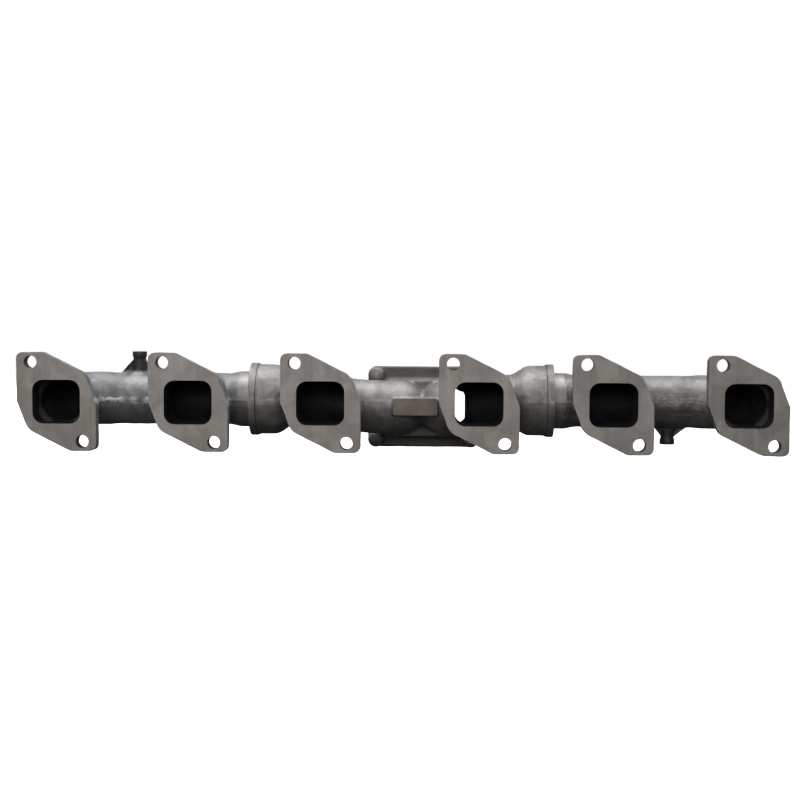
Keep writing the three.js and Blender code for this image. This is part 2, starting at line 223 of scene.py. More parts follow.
# %% Drawing out a disc
def drawn(name, stations, sides=96):
    """A closed form through stations of (centre, radius), along X, in millimetres."""
    centres = [Vector(centre) * MM for centre, radius in stations]
    radii = [radius * MM for centre, radius in stations]
    bpy.ops.mesh.primitive_circle_add(
        vertices=sides,
        radius=radii[0],
        fill_type="NGON",
        location=centres[0],
        rotation=(0, math.pi / 2, 0),
    )
    piece = settle(bpy.context.object)
    piece.name = name
    only(piece)
    bpy.ops.object.mode_set(mode="EDIT")
    bpy.ops.mesh.select_mode(type="FACE")
    bpy.ops.mesh.select_all(action="SELECT")
    for before, after, small, large in zip(centres, centres[1:], radii, radii[1:]):
        step = {"value": after - before}
        bpy.ops.mesh.extrude_region_move(TRANSFORM_OT_translate=step)
        ratio = large / small
        bpy.ops.transform.resize(value=(ratio, ratio, ratio), center_override=after)
    bpy.ops.mesh.select_all(action="SELECT")
    bpy.ops.mesh.normals_make_consistent(inside=False)
    bpy.ops.object.mode_set(mode="OBJECT")
    return piece


# %% [markdown]
# Most turned forms here lie round the axis of the log, so they are given by a profile alone: the
# distance from the middle of the manifold and the radius there, as a turner reads them.

# %% Turned forms round the log
LOG_Y = 75


def turned(name, side, profile, sides=96):
    """A form through (distance along the log, radius) stations. side is -1 or 1."""
    return drawn(name, [((side * x, LOG_Y, 0), radius) for x, radius in profile], sides)


# %% [markdown]
# A runner is a block with well-rounded long edges: the port's shape, grown by the wall.

# %% Rounded bars along Y
def rounded_block(name, centre, size, radius, start_y, end_y):
    """A block along Y with its four long edges rounded, in millimetres."""
    (x, z), (width, height) = centre, size
    piece = box(
        name,
        (x - width / 2, start_y, z - height / 2),
        (x + width / 2, end_y, z + height / 2),
    )
    choose(piece, "edges", lambda edge: runs_along_y(piece, edge))
    bpy.ops.mesh.bevel(offset=radius * MM, segments=8, affect="EDGES")
    bpy.ops.object.mode_set(mode="OBJECT")
    return piece


def runs_along_y(piece, edge):
    first, second = (piece.data.vertices[index].co for index in edge.vertices)
    return abs((second - first).normalized().y) > 0.99


# %% [markdown]
# ## From pattern to casting
#
# A casting has no sharp inner corners: iron flows round a fillet. Voxel remeshing turns the
# joined forms into one even skin, and smoothing that skin makes the fillets. The wider the
# fillet, the coarser the voxels and the more passes. A little displacement by a cloud texture
# then makes the skin as uneven as a sand mould leaves it.

# %% Fillets and cast skin
def fillet(piece, voxel, passes):
    """Remeshes a piece in voxels of so many millimetres and smooths it."""
    modify(piece, "REMESH", mode="VOXEL", voxel_size=voxel * MM, adaptivity=0)
    modify(piece, "SMOOTH", factor=0.5, iterations=passes)


def uneven(piece, depth, size):
    """Moves the skin in and out by a cloud texture of that size, in millimetres."""
    clouds = bpy.data.textures.new("mould waviness", "CLOUDS")
    clouds.noise_scale = size * MM
    clouds.noise_depth = 2
    modify(
        piece,
        "DISPLACE",
        texture=clouds,
        texture_coords="LOCAL",
        strength=depth * MM,
        mid_level=0.5,
    )
    bpy.data.textures.remove(clouds)


# %% [markdown]
# Where the two halves of the mould meet, some iron seeps into the joint. The fin is knocked
# off, and a ragged ridge stays. Here the mould parts on the level plane through the ports'
# centres, so the skin near that plane is pushed out, unevenly.

# %% Parting ridge
def parting_ridge(piece, height, half_width):
    ridge = piece.vertex_groups.new(name="parting ridge")
    for vertex in piece.data.vertices:
        nearness = 1 - abs(vertex.co.z) / (half_width * MM)
        if nearness > 0:
            ridge.add([vertex.index], nearness, "REPLACE")
    clouds = bpy.data.textures.new("broken fin", "CLOUDS")
    clouds.noise_scale = 6 * MM
    modify(
        piece,
        "DISPLACE",
        texture=clouds,
        texture_coords="LOCAL",
        strength=height * MM,
        mid_level=0.35,
        vertex_group=ridge.name,
    )
    piece.vertex_groups.clear()
    bpy.data.textures.remove(clouds)


# %% [markdown]
# ## Effects that several finishes share
#
# Cast skin, milled faces and turned faces share a few effects. Each is a node group that puts
# out a mask or a height, and every material uses it with its own values. They all read the
# object coordinates, so they stay in place when a section turns or slides.

# %% Building node groups
def new_group(name, inputs, outputs):
    """A node group with float inputs (name, default) and named outputs."""
    tree = bpy.data.node_groups.new(name, "ShaderNodeTree")
    for socket, default in inputs:
        made = tree.interface.new_socket(socket, in_out="INPUT", socket_type="NodeSocketFloat")
        made.default_value = default
    for socket in outputs:
        tree.interface.new_socket(socket, in_out="OUTPUT", socket_type="NodeSocketFloat")
    return tree, tree.nodes.new("NodeGroupInput"), tree.nodes.new("NodeGroupOutput")


def add(tree, kind, links=(), **settings):
    """Adds a node, sets it up, and feeds its inputs from sockets or values."""
    node = tree.nodes.new(kind)
    for name, value in settings.items():
        setattr(node, name, value)
    for name, source in dict(links).items():
        socket = node.inputs[name]
        if isinstance(source, bpy.types.NodeSocket):
            tree.links.new(source, socket)
        else:
            socket.default_value = source
    return node


def math_node(tree, operation, first, second=0.0, clamp=False):
    links = {0: first, 1: second}
    return add(tree, "ShaderNodeMath", links, operation=operation, use_clamp=clamp).outputs[0]


def noise(tree, vector, scale, detail=3.0, roughness=0.55, distortion=0.0):
    links = {
        "Vector": vector,
        "Scale": scale,
        "Detail": detail,
        "Roughness": roughness,
        "Distortion": distortion,
    }
    return add(tree, "ShaderNodeTexNoise", links).outputs["Fac"]


def ramp(tree, value, low, high):
    """Runs from 0 at low to 1 at high, smoothly."""
    links = {"Value": value, "From Min": low, "From Max": high}
    node = add(tree, "ShaderNodeMapRange", links, interpolation_type="SMOOTHSTEP")
    return node.outputs["Result"]


def scaled(tree, value, factor, offset=0.0):
    return math_node(tree, "ADD", math_node(tree, "MULTIPLY", value, factor), offset)


def object_coordinates(tree):
    return tree.nodes.new("ShaderNodeTexCoord").outputs["Object"]


def stretched(tree, vector, scale):
    links = {"Vector": vector, "Scale": scale}
    return add(tree, "ShaderNodeMapping", links).outputs["Vector"]


# %% [markdown]
# Sand grain: the mould's sand prints fine pits and lumps on the iron. Two noises of
# different size and a Voronoi pattern for the odd pit make a height for the bump.

# %% Sand grain group
def make_sand_grain():
    tree, given, result = new_group("sand grain", [("Grain", 900.0)], ["Height", "Pits"])
    place = object_coordinates(tree)
    fine = noise(tree, place, given.outputs["Grain"], 4.0, 0.6)
    coarse_scale = math_node(tree, "MULTIPLY", given.outputs["Grain"], 0.28)
    coarse = noise(tree, place, coarse_scale, 3.0, 0.5)
    cell_scale = math_node(tree, "MULTIPLY", given.outputs["Grain"], 0.35)
    cells = add(tree, "ShaderNodeTexVoronoi", {"Vector": place, "Scale": cell_scale})
    pits = math_node(tree, "SUBTRACT", 1.0, ramp(tree, cells.outputs["Distance"], 0.04, 0.2))
    lumps = math_node(tree, "ADD", fine, math_node(tree, "MULTIPLY", coarse, 0.9))
    height = math_node(tree, "SUBTRACT", lumps, math_node(tree, "MULTIPLY", pits, 0.35))
    tree.links.new(height, result.inputs["Height"])
    tree.links.new(pits, result.inputs["Pits"])
    return tree


sand_grain = make_sand_grain()
print("made", sand_grain.name)

# %% [markdown]
# Mottling: heat, oil and handling leave clouds of brown and grey on the iron. The group gives
# two masks, a broad one and a broken, flaky one.

# %% Mottling group
def make_mottling():
    tree, given, result = new_group("mottling", [("Size", 22.0)], ["Broad", "Flaky"])
    place = object_coordinates(tree)
    broad = noise(tree, place, given.outputs["Size"], 4.0, 0.6, 0.6)
    flake_scale = math_node(tree, "MULTIPLY", given.outputs["Size"], 5.0)
    flaky = noise(tree, place, flake_scale, 6.0, 0.72, 0.3)
    tree.links.new(ramp(tree, broad, 0.38, 0.66), result.inputs["Broad"])
    tree.links.new(ramp(tree, flaky, 0.52, 0.64), result.inputs["Flaky"])
    return tree


mottling = make_mottling()
print("made", mottling.name)

# %% [markdown]
# Parting line: the stub of the fin is bare, rough iron, paler than the skin. The mask is a
# band round the parting plane whose edges are torn by noise.

# %% Parting line group
def make_parting_line():
    tree, given, result = new_group("parting line", [("Half Width", 0.003)], ["Mask"])
    place = object_coordinates(tree)
    parts = add(tree, "ShaderNodeSeparateXYZ", {"Vector": place})
    torn = noise(tree, place, 130.0, 5.0, 0.7)
    shift = math_node(tree, "MULTIPLY", math_node(tree, "SUBTRACT", torn, 0.5), 0.022)
    away = math_node(tree, "ABSOLUTE", math_node(tree, "ADD", parts.outputs["Z"], shift))
    share = math_node(tree, "DIVIDE", away, given.outputs["Half Width"])
    band = math_node(tree, "SUBTRACT", 1.0, ramp(tree, share, 0.6, 1.0))
    gaps = ramp(tree, noise(tree, place, 30.0, 2.0), 0.36, 0.5)
    tree.links.new(math_node(tree, "MULTIPLY", band, gaps), result.inputs["Mask"])
    return tree


parting_line = make_parting_line()
print("made", parting_line.name)

# %% [markdown]
# Rust streaks: on one pipe the skin has weathered in bands along the pipe, brown and grey in
# turn. The mask is noise drawn out along X, within a band round the pipe's front.

# %% Rust streaks group
def make_rust_streaks():
    tree, given, result = new_group("rust streaks", [("Half Width", 0.015)], ["Mask", "Pale"])
    place = object_coordinates(tree)
    drawn_out = noise(tree, stretched(tree, place, (0.1, 1.0, 1.0)), 150.0, 4.0, 0.65, 0.4)
    flecks = noise(tree, stretched(tree, place, (0.5, 1.0, 1.0)), 420.0, 4.0, 0.7)
    parts = add(tree, "ShaderNodeSeparateXYZ", {"Vector": place})
    away = math_node(tree, "ABSOLUTE", scaled(tree, parts.outputs["Z"], 1.0, 0.004))
    share = math_node(tree, "DIVIDE", away, given.outputs["Half Width"])
    band = math_node(tree, "SUBTRACT", 1.0, ramp(tree, share, 0.6, 1.15))
    streaks = math_node(tree, "MULTIPLY", ramp(tree, drawn_out, 0.45, 0.53), band)
    pale = math_node(tree, "MULTIPLY", ramp(tree, flecks, 0.5, 0.6), band)
    tree.links.new(streaks, result.inputs["Mask"])
    tree.links.new(pale, result.inputs["Pale"])
    return tree


rust_streaks = make_rust_streaks()
print("made", rust_streaks.name)

# %% [markdown]
# Dark spots and painted shade: the bracket bosses are darker than the rest of the castings, and
# the front of the turbocharger flange, behind the log, is darkened as painted shade. The group
# compares the place with two limits: beyond the first along Y and farther than the second from
# the level plane.

# %% Dark spot and painted shade zone group
def make_dark_spot_and_shade_zone():
    inputs = [("Behind Y", 0.06), ("Beyond Z", 0.032), ("Blur", 0.002)]
    tree, given, result = new_group("dark zone", inputs, ["Mask"])
    parts = add(tree, "ShaderNodeSeparateXYZ", {"Vector": object_coordinates(tree)})
    height = math_node(tree, "ABSOLUTE", parts.outputs["Z"])
    over_y = math_node(tree, "SUBTRACT", parts.outputs["Y"], given.outputs["Behind Y"])
    over_z = math_node(tree, "SUBTRACT", height, given.outputs["Beyond Z"])
    share_y = math_node(tree, "DIVIDE", over_y, given.outputs["Blur"], clamp=True)
    share_z = math_node(tree, "DIVIDE", over_z, given.outputs["Blur"], clamp=True)
    tree.links.new(math_node(tree, "MULTIPLY", share_y, share_z), result.inputs["Mask"])
    return tree


dark_spot_and_shade_zone = make_dark_spot_and_shade_zone()
print("made", dark_spot_and_shade_zone.name)

# %% [markdown]
# Tool marks: a milling head leaves fine streaks in one direction, and turning leaves rings
# round the axis. Both are noise that is stretched: fine across the marks and long along them.

# %% Tool marks group
def make_tool_marks():
    inputs = [("Across X", 1.0), ("Across Y", 1.0), ("Across Z", 1.0)]
    tree, given, result = new_group("tool marks", inputs, ["Fine", "Broad"])
    scale = add(tree, "ShaderNodeCombineXYZ", {
        "X": given.outputs["Across X"],
        "Y": given.outputs["Across Y"],
        "Z": given.outputs["Across Z"],
    }).outputs["Vector"]
    place = stretched(tree, object_coordinates(tree), scale)
    tree.links.new(noise(tree, place, 900.0, 2.0, 0.6), result.inputs["Fine"])
    tree.links.new(noise(tree, place, 160.0, 3.0, 0.6), result.inputs["Broad"])
    return tree


tool_marks = make_tool_marks()
print("made", tool_marks.name)

# %% [markdown]
# Every finish is a Principled shader. These helpers make one, put the groups above into its
# tree, and blend colours by their masks.

# %% Steps that all materials share
def new_material(name, roughness=0.5, metallic=0.0):
    material = bpy.data.materials.new(name)
    material.use_nodes = True
    shader = material.node_tree.nodes["Principled BSDF"]
    shader.inputs["Roughness"].default_value = roughness
    shader.inputs["Metallic"].default_value = metallic
    return material, material.node_tree, shader


def use_group(tree, group, **values):
    node = add(tree, "ShaderNodeGroup", node_tree=group)
    for name, value in values.items():
        node.inputs[name.replace("_", " ")].default_value = value
    return node.outputs


def blend_colours(tree, mask, first, second):
    node = add(tree, "ShaderNodeMix", data_type="RGBA")
    for index, source in ((0, mask), (6, first), (7, second)):
        if isinstance(source, bpy.types.NodeSocket):
            tree.links.new(source, node.inputs[index])
        else:
            node.inputs[index].default_value = source
    return node.outputs[2]


def bump(tree, shader, height, distance, strength):
    """Lets a height raise the surface by so many millimetres."""
    links = {"Height": height, "Distance": distance * MM, "Strength": strength}
    node = add(tree, "ShaderNodeBump", links)
    tree.links.new(node.outputs["Normal"], shader.inputs["Normal"])


# %% [markdown]
# ### Cast skin
#
# The skin of grey iron is a thin, dark layer of oxide. It is neither bare metal nor paint: it
# has a soft sheen, so its metallic value stays part way. The brown tint differs between the
# castings, and so does how much of the parting line shows.

# %% Cast skin
PALE_IRON = (0.4, 0.39, 0.37, 1)
RUST = (0.085, 0.066, 0.05, 1)
# Near black, for darkening the sand pits.
DARK_PIT = (0.012, 0.011, 0.01, 1)


def cast_skin(name, dark, light, tint, line_share, streak_share, zone):
    """zone is (behind Y, beyond Z, colour): where the casting is painted darker, as painted shade
    on the turbocharger flange's front and as darker bosses on the ends.
    """
    material, tree, shader = new_material(name, metallic=0.55)
    grain = use_group(tree, sand_grain, Grain=820.0)
    clouds = use_group(tree, mottling, Size=24.0)
    line = use_group(tree, parting_line, Half_Width=0.0042)
    streaks = use_group(tree, rust_streaks, Half_Width=0.016)
    dark_spot_and_shade = use_group(tree, dark_spot_and_shade_zone, Behind_Y=zone[0], Beyond_Z=zone[1])
    colour = blend_colours(tree, clouds["Broad"], dark, light)
    colour = blend_colours(tree, scaled(tree, clouds["Flaky"], 0.4), colour, tint)
    colour = blend_colours(tree, scaled(tree, streaks["Mask"], streak_share), colour, RUST)
    pale_streak = math_node(
        tree, "MULTIPLY", streaks["Pale"], math_node(tree, "SUBTRACT", 1.0, streaks["Mask"])
    )
    colour = blend_colours(tree, scaled(tree, pale_streak, streak_share), colour, tint)
    colour = blend_colours(tree, scaled(tree, line["Mask"], line_share), colour, PALE_IRON)
    # Painted darker: painted shade on the turbocharger flange's front, darker bosses on the ends.
    colour = blend_colours(tree, scaled(tree, dark_spot_and_shade["Mask"], 0.85), colour, zone[2])
    # The sand pits are darkened toward near black.
    colour = blend_colours(tree, scaled(tree, grain["Pits"], 0.5), colour, DARK_PIT)
    tree.links.new(colour, shader.inputs["Base Color"])
    rough = scaled(tree, grain["Height"], 0.14, 0.4)
    tree.links.new(rough, shader.inputs["Roughness"])
    bump(tree, shader, grain["Height"], 0.28, 0.9)
    return material


# The centre's darkened zone is painted shade on the turbocharger flange's front, behind the log,
# with a brown tint.
centre_skin = cast_skin(
    "centre cast skin",
    dark=(0.095, 0.092, 0.088, 1),
    light=(0.175, 0.17, 0.162, 1),
    tint=(0.24, 0.215, 0.185, 1),
    line_share=0.15,
    streak_share=0.0,
    zone=(0.1262, 0.0, (0.055, 0.047, 0.038, 1)),
)
front_skin = cast_skin(
    "front cast skin",
    dark=(0.085, 0.087, 0.091, 1),
    light=(0.165, 0.168, 0.173, 1),
    tint=(0.22, 0.215, 0.205, 1),
    line_share=0.95,
    streak_share=0.0,
    zone=(0.06, 0.031, (0.022, 0.022, 0.023, 1)),
)
rear_skin = cast_skin(
    "rear cast skin",
    dark=(0.09, 0.089, 0.087, 1),
    light=(0.17, 0.167, 0.162, 1),
    tint=(0.23, 0.205, 0.18, 1),
    line_share=0.1,
    streak_share=0.75,
    zone=(0.06, 0.031, (0.022, 0.022, 0.023, 1)),
)
print("made", centre_skin.name, front_skin.name, rear_skin.name)

# %% [markdown]
# ### Milled, turned and drilled faces
#
# The faces that must seal are machined after casting. Milling leaves the flange faces flat,
# warm grey and finely streaked. The spigots and bells are turned, so their marks run round.

# %% Machined faces
def machined(name, low, high, roughness, across):
    """across says how fine the marks are along X, Y and Z: small means long marks that way."""
    material, tree, shader = new_material(name, metallic=0.75)
    marks = use_group(tree, tool_marks, Across_X=across[0], Across_Y=across[1], Across_Z=across[2])
    clouds = use_group(tree, mottling, Size=30.0)
    streaks = scaled(tree, marks["Broad"], 0.6)
    share = math_node(tree, "ADD", streaks, scaled(tree, clouds["Broad"], 0.4))
    colour = blend_colours(tree, share, low, high)
    tree.links.new(colour, shader.inputs["Base Color"])
    rough = scaled(tree, marks["Fine"], 0.2, roughness - 0.1)
    tree.links.new(rough, shader.inputs["Roughness"])
    bump(tree, shader, marks["Fine"], 0.02, 0.6)
    return material


ROUND_X = (1.0, 0.04, 0.04)

milled_face = machined(
    "milled port face",
    low=(0.155, 0.139, 0.127, 1),
    high=(0.31, 0.288, 0.268, 1),
    roughness=0.52,
    across=(1.0, 1.0, 0.04),
)
turned_face = machined(
    "turned face",
    low=(0.1, 0.095, 0.09, 1),
    high=(0.27, 0.262, 0.25, 1),
    roughness=0.5,
    across=ROUND_X,
)
drilled_face = machined(
    "drilled hole",
    low=(0.07, 0.065, 0.06, 1),
    high=(0.12, 0.115, 0.11, 1),
    roughness=0.5,
    across=(0.1, 1.0, 0.1),
)
ground_pad = machined(
    "ground pad",
    low=(0.09, 0.078, 0.066, 1),
    high=(0.2, 0.18, 0.158, 1),
    roughness=0.55,
    across=(0.08, 1.0, 1.0),
)
groove_skin = machined(
    "lip groove",
    low=(0.05, 0.048, 0.045, 1),
    high=(0.09, 0.086, 0.08, 1),
    roughness=0.6,
    across=ROUND_X,
)
ring_iron = machined(
    "ring iron",
    low=(0.32, 0.32, 0.325, 1),
    high=(0.42, 0.42, 0.425, 1),
    roughness=0.3,
    across=(1.0, 0.05, 0.05),
)
print("made", milled_face.name, turned_face.name, drilled_face.name)

# %% [markdown]
# ### Passages
#
# The passages are as cast, and dark: no light falls in, and soot dulls what little does. Their
# colour is also painted almost black, as painted shade for the dark inside.

# %% Passage skin
DEEP_SOOT_AND_SHADE = (0.004, 0.004, 0.004, 1)
THIN_SOOT_AND_SHADE = (0.012, 0.012, 0.012, 1)


def passage_skin():
    material, tree, shader = new_material("passage skin", metallic=0.1)
    grain = use_group(tree, sand_grain, Grain=700.0)
    clouds = use_group(tree, mottling, Size=40.0)
    # Near-black colour: soot, and painted shade for the dark inside of the passages.
    colour = blend_colours(tree, clouds["Broad"], DEEP_SOOT_AND_SHADE, THIN_SOOT_AND_SHADE)
    tree.links.new(colour, shader.inputs["Base Color"])
    tree.links.new(scaled(tree, clouds["Broad"], 0.15, 0.6), shader.inputs["Roughness"])
    bump(tree, shader, grain["Height"], 0.25, 0.9)
    return material


passage = passage_skin()
print("made", passage.name)


# %% [markdown]
# Each rough casting and each cutter gets one finish. A boolean cut then leaves the cutter's
# finish on the face it cuts, as a tool does, so no face has to be picked afterwards.

# %% Giving a piece its finish
def finish_with(piece, material):
    piece.data.materials.clear()
    piece.data.materials.append(material)
    return piece


# %% [markdown]
# ## The port flange
#
# All six flanges are alike: a slanted plate with a stud hole in each far corner. It starts as
# a block. Two slanting cuts on each side take its spare corners off, and bevels round the
# eight corners, each by its own radius. The block is 2 mm too thick in front, for milling.

# %% Flange plate
FLANGE_THICKNESS = 14.5
MILLING = 2.0
FLANGE_CORNERS = [(-44, 54.5, 7), (-15.5, 54.5, 8), (32, 30.7, 16), (44, -1.5, 10)]
STUD_HOLE = (-28.5, 43.8)
STUD_HOLE_RADIUS = 7.15
PORT_SIZE = (53, 48.5)
PORT_CORNER = 11.5
WALL = 6.4


def flange_plate(x):
    """The outline's eight corners are four and the same four turned by half a turn."""
    half_width, half_height = FLANGE_CORNERS[-1][0], FLANGE_CORNERS[0][1]
    plate = box(
        "flange",
        (-half_width, -MILLING, -half_height),
        (half_width, FLANGE_THICKNESS, half_height),
    )
    corners = FLANGE_CORNERS + [(-cx, -cz, radius) for cx, cz, radius in FLANGE_CORNERS]
    for first in (1, 2, 5, 6):
        (x1, z1, _), (x2, z2, _) = corners[first], corners[first + 1]
        choose(plate, "polygons", lambda face: True)
        bpy.ops.mesh.bisect(
            plane_co=Vector((x1, 0, z1)) * MM,
            plane_no=Vector((z1 - z2, 0, x2 - x1)).normalized(),
            use_fill=True,
            clear_outer=True,
        )
        bpy.ops.object.mode_set(mode="OBJECT")
    round_corners(plate, corners)
    plate.location.x = x * MM
    return settle(plate)


def round_corners(plate, corners):
    """Bevels each corner of the outline so that it gets its radius."""
    for index, (x, z, radius) in enumerate(corners):
        here = Vector((x, z))
        before = (Vector(corners[index - 1][:2]) - here).normalized()
        after = (Vector(corners[(index + 1) % len(corners)][:2]) - here).normalized()
        reach = radius / math.tan(before.angle(after) / 2)
        choose(plate, "edges", lambda edge: runs_along_y(plate, edge) and at(plate, edge, here))
        bpy.ops.mesh.bevel(offset=reach * MM, offset_type="OFFSET", segments=6, affect="EDGES")
        bpy.ops.object.mode_set(mode="OBJECT")


def at(plate, edge, corner):
    point = plate.data.vertices[edge.vertices[0]].co
    return (Vector((point.x, point.z)) - corner * MM).length < 0.5 * MM


# %% [markdown]
# Behind each flange a runner leads to the log. The port's core, the milling of the flange's face
# and the drills for its two studs are separate cutters, so that each can be used in its turn.

# %% Runners, port cores and machining
OVERRUN = 8
MILLING_REACH = (60, 20, 70)
STUD_DRILL_WAY = (-9, 30)


def runner(x, end_y):
    size = (PORT_SIZE[0] + 2 * WALL, PORT_SIZE[1] + 2 * WALL)
    return rounded_block("runner", (x, 0), size, PORT_CORNER + WALL, FLANGE_THICKNESS / 2, end_y)


def port_core(x, end_y):
    return rounded_block("port core", (x, 0), PORT_SIZE, PORT_CORNER, -OVERRUN, end_y)


def milling_cut(x):
    width, depth, height = MILLING_REACH
    block = box("milling", (x - width, -depth, -height), (x + width, 0, height))
    return finish_with(block, milled_face)


def stud_drills(x):
    drills = []
    for side in (1, -1):
        hole_x, hole_z = x + side * STUD_HOLE[0], side * STUD_HOLE[1]
        start, end = ((hole_x, y, hole_z) for y in STUD_DRILL_WAY)
        drill = bar("drill", STUD_HOLE_RADIUS, start, end, 48)
        drills.append(finish_with(drill, drilled_face))
    return drills


# %% [markdown]
# ## An end section
#
# The gas of the outermost port turns a quarter circle into the pipe. The elbow is spun: a disc
# is swung round the bend's centre. The pipe runs on to a thick stub, which is left rough here
# and turned to a spigot later. A bracket boss with a gusset stands on the pipe.

# %% Elbow and pipe
PIPE_RADIUS = 29.5
BORE_RADIUS = 23.75
ELBOW_RADIUS = 45
BOSS_X = 302.5


def elbow(name, port, side, radius, start_y):
    """A round tube from the outermost port round to the pipe. side is -1 or 1."""
    bpy.ops.mesh.primitive_circle_add(
        vertices=64,
        radius=radius * MM,
        fill_type="NGON",
        location=(port * MM, start_y * MM, 0),
        rotation=(math.pi / 2, 0, 0),
    )
    piece = settle(bpy.context.object)
    piece.name = name
    bend_y = LOG_Y - ELBOW_RADIUS
    centre = Vector((port - side * ELBOW_RADIUS, bend_y, 0)) * MM
    choose(piece, "polygons", lambda face: True)
    bpy.ops.mesh.extrude_region_move(
        TRANSFORM_OT_translate={"value": (0, (bend_y - start_y) * MM, 0)}
    )
    bpy.ops.mesh.spin(steps=20, angle=math.pi / 2, center=centre, axis=(0, 0, -side))
    choose(piece, "polygons", lambda face: True)
    bpy.ops.mesh.remove_doubles(threshold=1e-6)
    bpy.ops.mesh.normals_make_consistent(inside=False)
    bpy.ops.object.mode_set(mode="OBJECT")
    return piece


# %% [markdown]
# The gusset is a plate whose two ends are cut to a slope. Its faces are inset and pushed in,
# which leaves a raised rim along its edges, as on the real one.

# %% Bracket boss
BOSS_RADIUS = 7.2
BOSS_HEAD_RADIUS = 8.4
BOSS_HEAD_HEIGHT = 6
BOSS_ROOT = 4
BOSS_ALLOWANCE = 1
PAD_RADIUS = 19
PAD_SHIFT = 3
PAD_SUNK = 16.5
GUSSET_FEET = (22, 16)
GUSSET_TOP = 6
GUSSET_HALF_THICKNESS = 4.6
GUSSET_SUNK = 1
GUSSET_RIM = 2.2
GUSSET_RECESS = 2.4


def bracket_boss(side, up, height):
    """A boss on the pipe, above it (up = 1) or below it (up = -1), with its gusset."""
    x = side * BOSS_X
    top = PIPE_RADIUS + height
    shoulder = top - BOSS_HEAD_HEIGHT
    root = PIPE_RADIUS - BOSS_ROOT

    def level(z):
        return x, LOG_Y, up * z

    stem = bar("boss", BOSS_RADIUS, level(root), level(top - BOSS_ALLOWANCE), 32)
    head = bar("boss head", BOSS_HEAD_RADIUS, level(shoulder), level(top + BOSS_ALLOWANCE), 32)
    pad_place = (x + side * PAD_SHIFT, LOG_Y, up * (PIPE_RADIUS - PAD_SUNK))
    pad = ball("pad", PAD_RADIUS, pad_place)
    ends = [
        (x + side * GUSSET_FEET[0], x + side * GUSSET_TOP),
        (x - side * GUSSET_FEET[1], x - side * GUSSET_TOP),
    ]
    low_x, high_x = sorted(foot for foot, edge in ends)
    low_z, high_z = sorted((up * root, up * shoulder))
    web = box(
        "gusset",
        (low_x, LOG_Y - GUSSET_HALF_THICKNESS, low_z),
        (high_x, LOG_Y + GUSSET_HALF_THICKNESS, high_z),
    )
    rise = up * (shoulder - GUSSET_SUNK - PIPE_RADIUS)
    for foot, edge in ends:
        outward = Vector((rise, 0, foot - edge))
        if outward.x * (foot - edge) < 0:
            outward.negate()
        choose(web, "polygons", lambda face: True)
        bpy.ops.mesh.bisect(
            plane_co=Vector((foot, LOG_Y, up * (PIPE_RADIUS - GUSSET_SUNK))) * MM,
            plane_no=outward.normalized(),
            use_fill=True,
            clear_outer=True,
        )
        bpy.ops.object.mode_set(mode="OBJECT")
    choose(web, "polygons", lambda face: abs(face.normal.y) > 0.99)
    bpy.ops.mesh.inset(thickness=GUSSET_RIM * MM, depth=-GUSSET_RECESS * MM, use_individual=True)
    bpy.ops.object.mode_set(mode="OBJECT")
    return [stem, head, pad, web]


# %% [markdown]
# The rough casting is made in two rounds: the big round forms first, with wide fillets, then
# the flanges and bosses with tight ones.

# %% Rough casting of an end section
SPIGOT_RADIUS = 31.75
SPIGOT_END = 144.5
COLLAR_END = 184
TAPER_END = 196
COLLAR_ALLOWANCE = 0.25
SPIGOT_ALLOWANCE = 2.5
SPIGOT_EXCESS = 3
ELBOW_SWELL = 1
RUNNER_SHORT = 4
SKIN_WAVES = {"depth": 0.9, "size": 18}


def end_casting(name, side, ports, boss_height):
    inner, outer = ports
    pipe = turned(f"{name}_casting", side, [
        (side * outer - ELBOW_RADIUS, PIPE_RADIUS),
        (TAPER_END, PIPE_RADIUS),
        (COLLAR_END + 1, SPIGOT_RADIUS + COLLAR_ALLOWANCE),
        (SPIGOT_END - SPIGOT_EXCESS, SPIGOT_RADIUS + SPIGOT_ALLOWANCE),
    ])
    join(pipe, [
        elbow("elbow", outer, side, PIPE_RADIUS + ELBOW_SWELL, FLANGE_THICKNESS / 2),
        runner(outer, LOG_Y - ELBOW_RADIUS - RUNNER_SHORT),
        runner(inner, LOG_Y),
    ])
    fillet(pipe, voxel=2.2, passes=10)
    join(pipe, [flange_plate(inner), flange_plate(outer)])
    join(pipe, bracket_boss(side, -side, boss_height))
    fillet(pipe, voxel=1.3, passes=3)
    uneven(pipe, **SKIN_WAVES)
    parting_ridge(pipe, height=1.6, half_width=1.6)
    return finish_with(pipe, front_skin if side < 0 else rear_skin)


# %% [markdown]
# The core is what the moulder puts in to keep the passage open. It reaches past the port faces
# and the spigot's end, where machining opens it.

# %% Core of an end section
ELBOW_CORE_START = 10
CORE_FILLET = {"voxel": 1.8, "passes": 5}


def end_core(side, ports):
    inner, outer = ports
    core = turned("core", side, [
        (side * outer - ELBOW_RADIUS, BORE_RADIUS),
        (SPIGOT_END - OVERRUN, BORE_RADIUS),
    ])
    join(core, [
        elbow("elbow core", outer, side, BORE_RADIUS, ELBOW_CORE_START),
        port_core(outer, LOG_Y - ELBOW_RADIUS - WALL),
        port_core(inner, LOG_Y),
    ])
    fillet(core, **CORE_FILLET)
    return finish_with(core, passage)


# %% [markdown]
# Turning the spigot: the cutter is a block of the waste iron round it, that is a big disc with
# the finished spigot taken out of it. Cutting this from the rough stub leaves the turned
# spigot, with a ragged edge where the tool ran out into the uneven casting.

# %% Turning the spigot
GROOVES = [(148.5, 155.5), (159.5, 166.5)]
GROOVE_DEPTH = 3.5
SPIGOT_CHAMFER = 1
WASTE_RADIUS = 50


